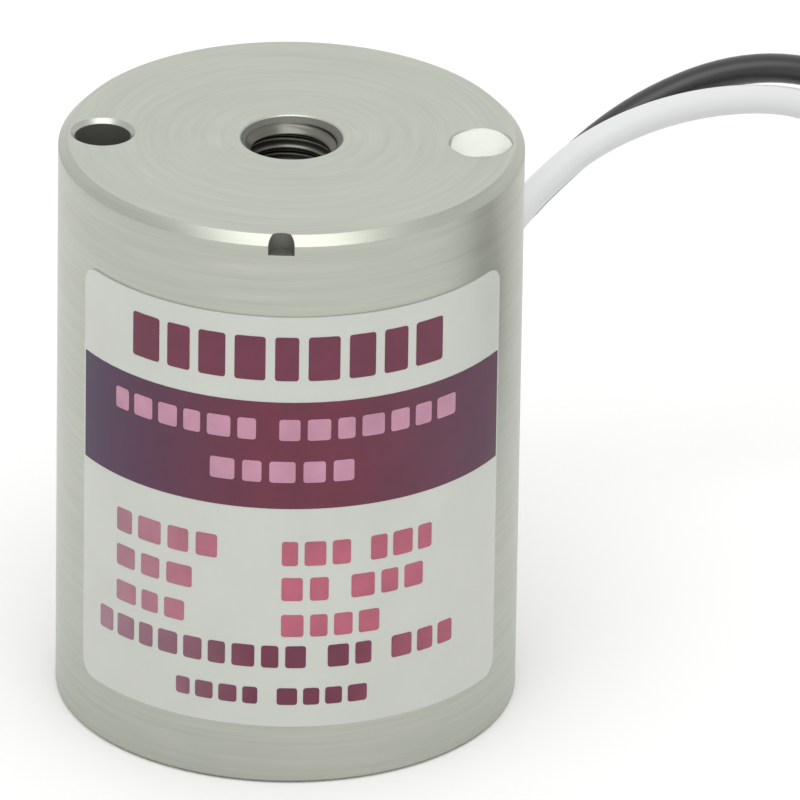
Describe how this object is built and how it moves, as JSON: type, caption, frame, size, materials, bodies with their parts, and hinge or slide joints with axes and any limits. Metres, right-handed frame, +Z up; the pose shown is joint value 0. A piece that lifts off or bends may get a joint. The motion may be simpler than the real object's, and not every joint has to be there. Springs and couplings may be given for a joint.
{
  "type": "holding electromagnet",
  "caption": "Round pot holding electromagnet with a tapped mounting hole, a wrap-round label and two side leads that end in small coils.",
  "frame": {"origin": "centre of the holding face, which the magnet stands on", "axes": "+Z up along the body's axis and out of the tapped mounting hole; the label faces -Y; the fill and vent holes lie on X; the leads leave at the back towards +X"},
  "size_m": [0.0627, 0.0306, 0.026],
  "materials": {
    "plated_steel": "satin nickel plate over fine turning marks",
    "pole_steel": "ground and plated",
    "ring_brass": "turned",
    "bobbin_nylon": "moulded",
    "enamelled_copper": "enamelled wire",
    "amber_tape": "smooth film",
    "washer_film": "smooth film",
    "white_resin": "cast",
    "bush_rubber": "moulded",
    "sleeve_plastic": "shrunk sleeve",
    "white_insulation": "smooth, half gloss",
    "black_insulation": "smooth, half gloss",
    "tinned_strands": "tinned and twisted",
    "label_film": "printed film, half gloss"
  },
  "bodies": {
    "root": {"housing": "plated_steel", "core": "pole_steel", "pole_gap_ring": "ring_brass", "bobbin": "bobbin_nylon", "coil_winding": "enamelled_copper", "coil_tail_start": "enamelled_copper", "coil_tail_finish": "enamelled_copper", "winding_tape": "amber_tape", "insulating_washer": "washer_film", "potting_resin": "white_resin", "lead_bush": "bush_rubber", "splice_sleeve_white": "sleeve_plastic", "splice_sleeve_black": "sleeve_plastic", "inner_lead_white": "white_insulation", "inner_lead_black": "black_insulation", "lead_white": "white_insulation", "lead_white_coil": "white_insulation", "lead_white_tip": "tinned_strands", "lead_black": "black_insulation", "lead_black_coil": "black_insulation", "lead_black_tip": "tinned_strands", "label": "label_film"}
  },
  "joints": []
}
